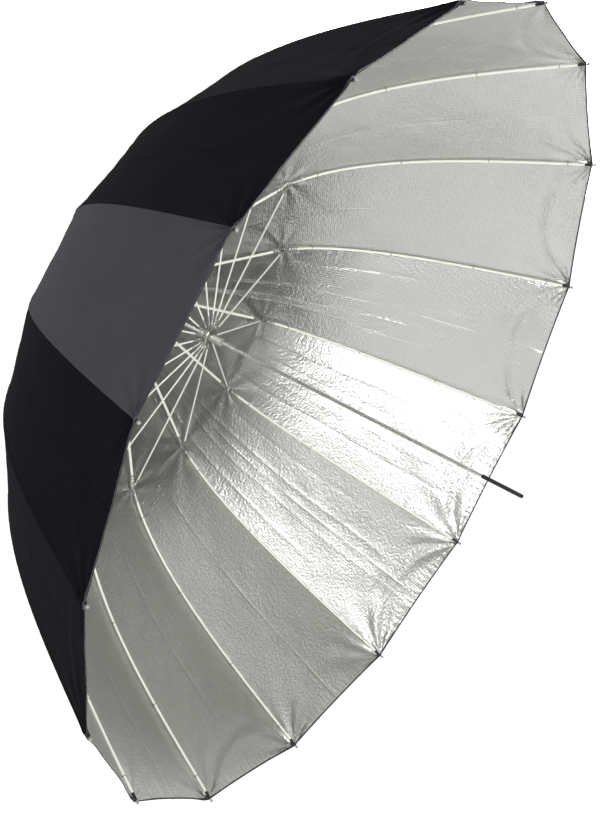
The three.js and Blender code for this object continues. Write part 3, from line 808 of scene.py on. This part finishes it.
def petal(name, rib, start, end, rows, body, materials):
    """The cloth on both sides of one rib, from start to end along it, as a thin closed sheet."""
    hem = end > RIM_AT - 1e-6
    stations = np.linspace(start, end - (HEM_FOLD if hem else 0.0), rows)
    if hem:
        marks = [0.012, 0.008, HEM_WIDTH + 0.0006, HEM_WIDTH, 0.002, 0.0]
        stations = np.concatenate([stations, end - np.array(marks)])
    thickness = np.full(len(stations), HALF_CLOTH)
    if hem:
        thickness[-4:] = HALF_HEM
        thickness[-1] = HALF_HEM * 0.6
    grids = {+1: [], -1: []}
    maps = []
    for s, half in zip(stations, thickness):
        radius = np.interp(s, SEAM_AT, SEAM[:, 0])
        across = columns(2 * radius * math.sin(GORE_ANGLE / 2))
        flap = FLAP_HEIGHT * (1 - smooth_step(across, SEAM_FLAP - 0.001, SEAM_FLAP + 0.0006))
        flap[0] *= 0.4
        for face in (+1, -1):
            seam = flap if face > 0 else 0.0
            right, right_map = cloth_point(rib, +1, across, s, face * half + seam)
            left, left_map = cloth_point(rib, -1, across, s, face * half)
            grids[face].append(np.vstack([left[:0:-1], right]))
        maps.append(np.vstack([left_map[:0:-1], right_map]))
    outer, inner, uv = np.array(grids[+1]), np.array(grids[-1]), np.array(maps)
    count_rows, count_columns = outer.shape[:2]
    layer = count_rows * count_columns
    points = np.vstack([outer.reshape(-1, 3), inner.reshape(-1, 3)])
    at = np.arange(layer).reshape(count_rows, count_columns)
    a, b, c, d = (part.ravel() for part in (at[:-1, :-1], at[:-1, 1:], at[1:, 1:], at[1:, :-1]))
    rim = np.concatenate([at[0], at[1:, -1], at[-1, -2::-1], at[-2:0:-1, 0]])
    after = np.roll(rim, -1)
    faces = np.vstack([
        np.column_stack([a, b, c, d]),
        np.column_stack([a, d, c, b]) + layer,
        np.column_stack([after, rim, rim + layer, after + layer]),
    ])
    outside = np.full((count_rows - 1, count_columns - 1), BLACK_CLOTH)
    middle = count_columns // 2
    if rib == CHARCOAL_PANEL:
        outside[:, middle:] = CHARCOAL_CLOTH
    if (rib - 1) % RIBS == CHARCOAL_PANEL:
        outside[:, :middle] = CHARCOAL_CLOTH
    inside = np.full_like(outside, SILVER_CLOTH)
    if hem:
        outside[-3:] = TAPE
        inside[-3:] = TAPE
    edges = np.full(len(rim), TAPE if hem else BLACK_CLOTH)
    cloth_looks = np.concatenate([outside.ravel(), inside.ravel(), edges])
    shape = Shape()
    shape.add(points, faces, cloth_looks, np.vstack([uv.reshape(-1, 2)] * 2))
    mesh = shape.make(name, materials, 60.0)
    angle = rib_angle(rib)
    piece = place(name, mesh, angle, body, "silver_fabric")
    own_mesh(piece)
    return piece


def make_canopy(looks):
    materials = [looks["silver"], looks["black"], looks["charcoal"], looks["tape"]]
    stretches = (
        ("inner", PETAL_START - CROWN_HOLE, ELBOW_AT, 60, FOLDED_INNER_SHARE),
        ("outer", ELBOW_AT, RIM_AT, 120, FOLDED_OUTER_SHARE),
    )
    for rib in range(RIBS):
        for part, start, end, rows, share in stretches:
            name = f"{part}_{rib + 1:02d}"
            piece = petal(f"canopy_{name}", rib, start, end, rows, f"rib_{name}", materials)
    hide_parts("canopy")


def make_crown_patch(looks):
    """The doubled patch of cloth that the washer clamps."""
    shape = Shape()
    profile = []
    for lift in (+1, -1):
        radii = np.linspace(CROWN_HOLE, PATCH_RADIUS, 12)
        heights = np.interp(radii, SEAM[:, 0], SEAM[:, 1]) + 0.0011 + lift * 0.0003
        profile.extend(zip(heights[::lift], radii[::lift]))
    shape.turned((0, 0, 0), (0, 1, 0), profile, 0, 64, closed=True)
    mesh = shape.make("crown_patch", [looks["black"]])
    piece = place("crown_patch", mesh, 0.0, "root", "black_fabric")


# ---------------------------------------------------------------- ribs and stretchers

ROD, METAL, BLACK, PALE, THREAD = range(5)


def crimped(shape, start, way, length, radius, rod):
    """A metal sleeve on a rod, rolled in at both ends and crimped twice."""
    lip = 0.0006
    profile = [(0.0, rod), (0.0, radius - lip), (lip, radius)]
    for crimp in (0.28, 0.62):
        for along, depth in ((0.0, 1.0), (0.03, 0.88), (0.09, 0.88), (0.12, 1.0)):
            profile.append((length * (crimp + along), radius * depth))
    profile += [(length - lip, radius), (length, radius - lip), (length, rod)]
    shape.turned(flat3(start)[0], flat3(way)[0], profile, METAL, 20)


def hub_end(shape, pivot, out, length):
    """The thin eye on a hub's wire, with its tang that runs into the rod."""
    shape.eye(pivot, HUB_EYE, HUB_EYE_HOLE, *HUB_LEAF, METAL)
    shape.bar(pivot + out * 0.0022, pivot + out * length, TANG_HALF_HEIGHT, *HUB_LEAF, METAL)


def inner_rib_mesh(looks):
    shape = Shape()
    out = -TO_CROWN
    rod_start, rod_end = CROWN_PIVOT + out * 0.020, ELBOW + TO_CROWN * 0.026
    shape.tube(flat3(np.linspace(rod_start, rod_end, 24)), INNER_ROD, ROD, 18)
    hub_end(shape, CROWN_PIVOT, out, 0.024)
    crimped(shape, CROWN_PIVOT + out * 0.0205, out, 0.016, 0.0033, INNER_ROD)
    crimped(shape, ELBOW + TO_CROWN * 0.034, -TO_CROWN, 0.020, 0.0042, INNER_ROD)
    for low, high in CHEEKS:
        shape.bar(ELBOW, ELBOW + TO_CROWN * 0.018, 0.0032, low, high, METAL)
        disc = [(0, CHEEK_RADIUS), (high - low, CHEEK_RADIUS)]
        shape.turned((*ELBOW, low), (0, 0, 1), disc, METAL, 28)
    head = [(0.0, 0.0012), (0.0, 0.0024), (0.0003, 0.0024), (0.0007, 0.0017), (0.0009, 0.0006)]
    (_, face), (back, _) = CHEEKS
    shape.turned((*ELBOW, face), (0, 0, 1), head, METAL, 20)
    shape.turned((*ELBOW, back), (0, 0, -1), head, METAL, 20)
    shape.turned((*ELBOW, back - 0.0001), (0, 0, 1), [(0, 0.0012), (0.0082, 0.0012)], METAL, 16)
    return shape.make("inner_rib", looks)


def outer_rib_mesh(looks):
    shape = Shape()
    line = outer_line(0.0, 0.0, 0.012, 90)
    shape.tube(flat3(line), OUTER_ROD, ROD, 14)
    shape.eye(ELBOW, ELBOW_EYE, ELBOW_EYE_HOLE, *OUTER_LEAF, METAL)
    tang = (ELBOW + OUTER_START * 0.0026, ELBOW + OUTER_START * 0.015)
    shape.bar(*tang, TANG_HALF_HEIGHT, *OUTER_TANG, METAL)
    crimped(shape, ELBOW + OUTER_START * 0.012, OUTER_START, 0.020, 0.0029, OUTER_ROD)
    groove = CAP_RADIUS - 0.0003
    cap = [
        (-0.017, OUTER_ROD), (-0.017, 0.0026), (-0.0165, 0.0029), (-0.012, CAP_RADIUS),
        (-0.0115, groove), (-0.0105, groove), (-0.010, CAP_RADIUS),
        (-0.0006, CAP_RADIUS), (0.0, groove), (0.0, 0.0018),
    ]
    shape.turned(flat3(TIP)[0], flat3(OUTER_END)[0], cap, BLACK, 20)
    turn = np.linspace(-1.0, math.pi / 2 - 0.08, 9)
    ball = [(BALL_CENTRE + BALL_RADIUS * math.sin(a), BALL_RADIUS * math.cos(a)) for a in turn]
    shape.turned(flat3(TIP)[0], flat3(OUTER_END)[0], [(0.0, 0.0017), *ball], PALE, 20)
    steps = np.linalg.norm(np.diff(line, axis=0), axis=1)
    distance = np.concatenate([[0.0], np.cumsum(steps)])
    for at in TIES:
        centre = np.array([np.interp(at, distance, line[:, k]) for k in (0, 1)])
        ahead = np.array([np.interp(at + 0.004, distance, line[:, k]) for k in (0, 1)])
        tie(shape, centre, unit(ahead - centre))
    return shape.make("outer_rib", looks)


def tie(shape, centre, way):
    """Three turns of sewing thread round the rod and through the seam."""
    out = outward(way)
    for turn in (-THREAD_PITCH, 0.0, THREAD_PITCH):
        loop = []
        for a in np.linspace(0, 2 * math.pi, 19)[:-1]:
            # The turn reaches farther on the cloth's side of the rod
            reach = 0.0025 + 0.0016 * max(0.0, math.sin(a)) ** 2
            along_rod = turn + 0.0004 * math.cos(a)
            flat = centre + way * along_rod + out * reach * math.sin(a)
            loop.append((*flat, 0.0026 * math.cos(a)))
        shape.loop(np.array(loop), THREAD_RADIUS, THREAD)


def stretcher_mesh(looks):
    shape = Shape()
    out = -TO_RUNNER
    start, end = RUNNER_PIVOT + out * 0.011, ELBOW + TO_RUNNER * 0.028
    shape.tube(flat3(np.linspace(start, end, 16)), STRETCHER_ROD, ROD, 14)
    hub_end(shape, RUNNER_PIVOT, out, 0.016)
    crimped(shape, RUNNER_PIVOT + out * 0.014, out, 0.016, 0.0023, STRETCHER_ROD)
    shape.eye(ELBOW, ELBOW_EYE, ELBOW_EYE_HOLE, *STRETCHER_LEAF, METAL)
    tang = (ELBOW + TO_RUNNER * 0.0026, ELBOW + TO_RUNNER * 0.020)
    shape.bar(*tang, TANG_HALF_HEIGHT, *STRETCHER_TANG, METAL)
    crimped(shape, ELBOW + TO_RUNNER * 0.031, -TO_RUNNER, 0.015, 0.0024, STRETCHER_ROD)
    return shape.make("stretcher", looks)


def make_ribs(looks):
    materials = [looks["rod"], looks["steel"], looks["plastic"], looks["pale"], looks["thread"]]
    meshes = {
        "rib_inner": inner_rib_mesh(materials),
        "rib_outer": outer_rib_mesh(materials),
        "stretcher": stretcher_mesh(materials),
    }
    for kind, mesh in meshes.items():
        for rib in range(RIBS):
            node = f"{kind}_{rib + 1:02d}"
            piece = place(f"{node}_fine", mesh, rib_angle(rib), node, "fibreglass")
            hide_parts(node)


# ---------------------------------------------------------------- shaft and hubs


def keep_node(node, material):
    """A CAD node whose shape is right stays, with a finished material."""
    piece = frame["nodes"][node]
    piece.data.materials.clear()
    piece.data.materials.append(material)


def make_hubs(looks):
    for node in ("shaft", "runner_grip"):
        keep_node(node, looks["satin"])
    for node in ("crown_wire", "runner", "runner_wire", "catch_blade", "stop_collar"):
        keep_node(node, looks["steel"])
    for node in ("crown_notch", "crown_washer", "finial", "shaft_end_plug"):
        keep_node(node, looks["plastic"])


# ---------------------------------------------------------------- the whole object


def main():
    make_camera()
    make_stage()
    looks = {
        "silver": silver_cloth(),
        "black": black_cloth(
            "black_cloth", (0.0055, 0.0053, 0.0070), (0.0080, 0.0077, 0.0100), RIPSTOP_BLACK
        ),
        "charcoal": black_cloth(
            "charcoal_cloth", (0.049, 0.047, 0.055), (0.060, 0.058, 0.067), RIPSTOP_CHARCOAL
        ),
        "tape": binding_tape(),
        "thread": thread(),
        "rod": fibreglass(),
        "steel": plated_steel(),
        "satin": satin_tube(),
        "plastic": black_plastic(),
        "pale": pale_plastic(),
    }
    make_canopy(looks)
    make_crown_patch(looks)
    make_ribs(looks)
    make_hubs(looks)


main()
